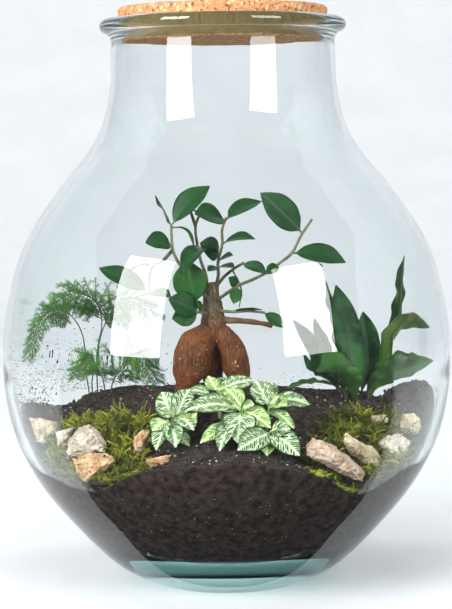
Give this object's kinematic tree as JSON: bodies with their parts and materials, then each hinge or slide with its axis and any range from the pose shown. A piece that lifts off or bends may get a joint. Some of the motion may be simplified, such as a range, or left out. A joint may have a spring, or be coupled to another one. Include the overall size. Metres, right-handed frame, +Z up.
{
  "type": "glass plant terrarium",
  "caption": "Round-bellied clear glass jar with a cork lid, planted as a terrarium with a ginseng ficus, fittonia and two ferns in soil among moss and stones",
  "frame": {"origin": "centre of the flat contact face under the glass, on the axis of the vessel", "axes": "+Z up along the axis of the vessel, +X to the right of the picture's viewer, -Y towards that viewer"},
  "size_m": [0.3, 0.3, 0.383],
  "materials": {
    "clear_glass": "clear, faint blue-green",
    "cork": "matt, granular",
    "soil": "matt, crumbly",
    "moss": "matt, tufted",
    "stone_cream": "matt, pitted",
    "stone_grey": "matt, pitted",
    "stone_tan": "matt, pitted",
    "stone_pink": "matt, pitted",
    "ficus_bark": "satin bark",
    "ficus_leaf": "glossy",
    "fittonia_leaf": "satin, pale net veins",
    "nest_fern_leaf": "glossy",
    "asparagus_needles": "matt, fine"
  },
  "bodies": {
    "root": {"glass_bowl": "clear_glass", "glass_shoulder": "clear_glass", "glass_neck": "clear_glass", "cork_lid": "cork", "potting_soil": "soil", "moss_left": "moss", "moss_right": "moss", "stone_left_cream": "stone_cream", "stone_left_grey": "stone_grey", "stone_left_pointed": "stone_grey", "stone_left_tan": "stone_tan", "stone_left_orange": "stone_tan", "stone_front_flat": "stone_tan", "stone_right_long": "stone_pink", "stone_right_beige": "stone_cream", "stone_right_grey": "stone_grey", "stone_far_right": "stone_cream", "stone_back_small": "stone_grey", "ficus_trunk": "ficus_bark", "ficus_spray_left": "ficus_leaf", "ficus_spray_top_left": "ficus_leaf", "ficus_spray_top": "ficus_leaf", "ficus_spray_right": "ficus_leaf", "ficus_spray_inner": "ficus_leaf", "ficus_spray_lower_right": "ficus_leaf", "ficus_spray_lower_left": "ficus_leaf", "fittonia_stem_back": "fittonia_leaf", "fittonia_stem_centre": "fittonia_leaf", "fittonia_stem_right": "fittonia_leaf", "fittonia_stem_front_right": "fittonia_leaf", "fittonia_stem_left": "fittonia_leaf", "nest_frond_tall": "nest_fern_leaf", "nest_frond_tall_back": "nest_fern_leaf", "nest_frond_middle": "nest_fern_leaf", "nest_frond_right": "nest_fern_leaf", "nest_frond_far_right": "nest_fern_leaf", "nest_frond_low_right": "nest_fern_leaf", "nest_frond_front": "nest_fern_leaf", "nest_frond_left": "nest_fern_leaf", "nest_frond_back_left": "nest_fern_leaf", "nest_frond_far_left": "nest_fern_leaf", "nest_frond_low_left": "nest_fern_leaf", "asparagus_frond_far_left": "asparagus_needles", "asparagus_frond_upper_left": "asparagus_needles", "asparagus_frond_upper_right": "asparagus_needles", "asparagus_frond_low_right": "asparagus_needles", "asparagus_frond_low_left": "asparagus_needles"}
  },
  "joints": []
}
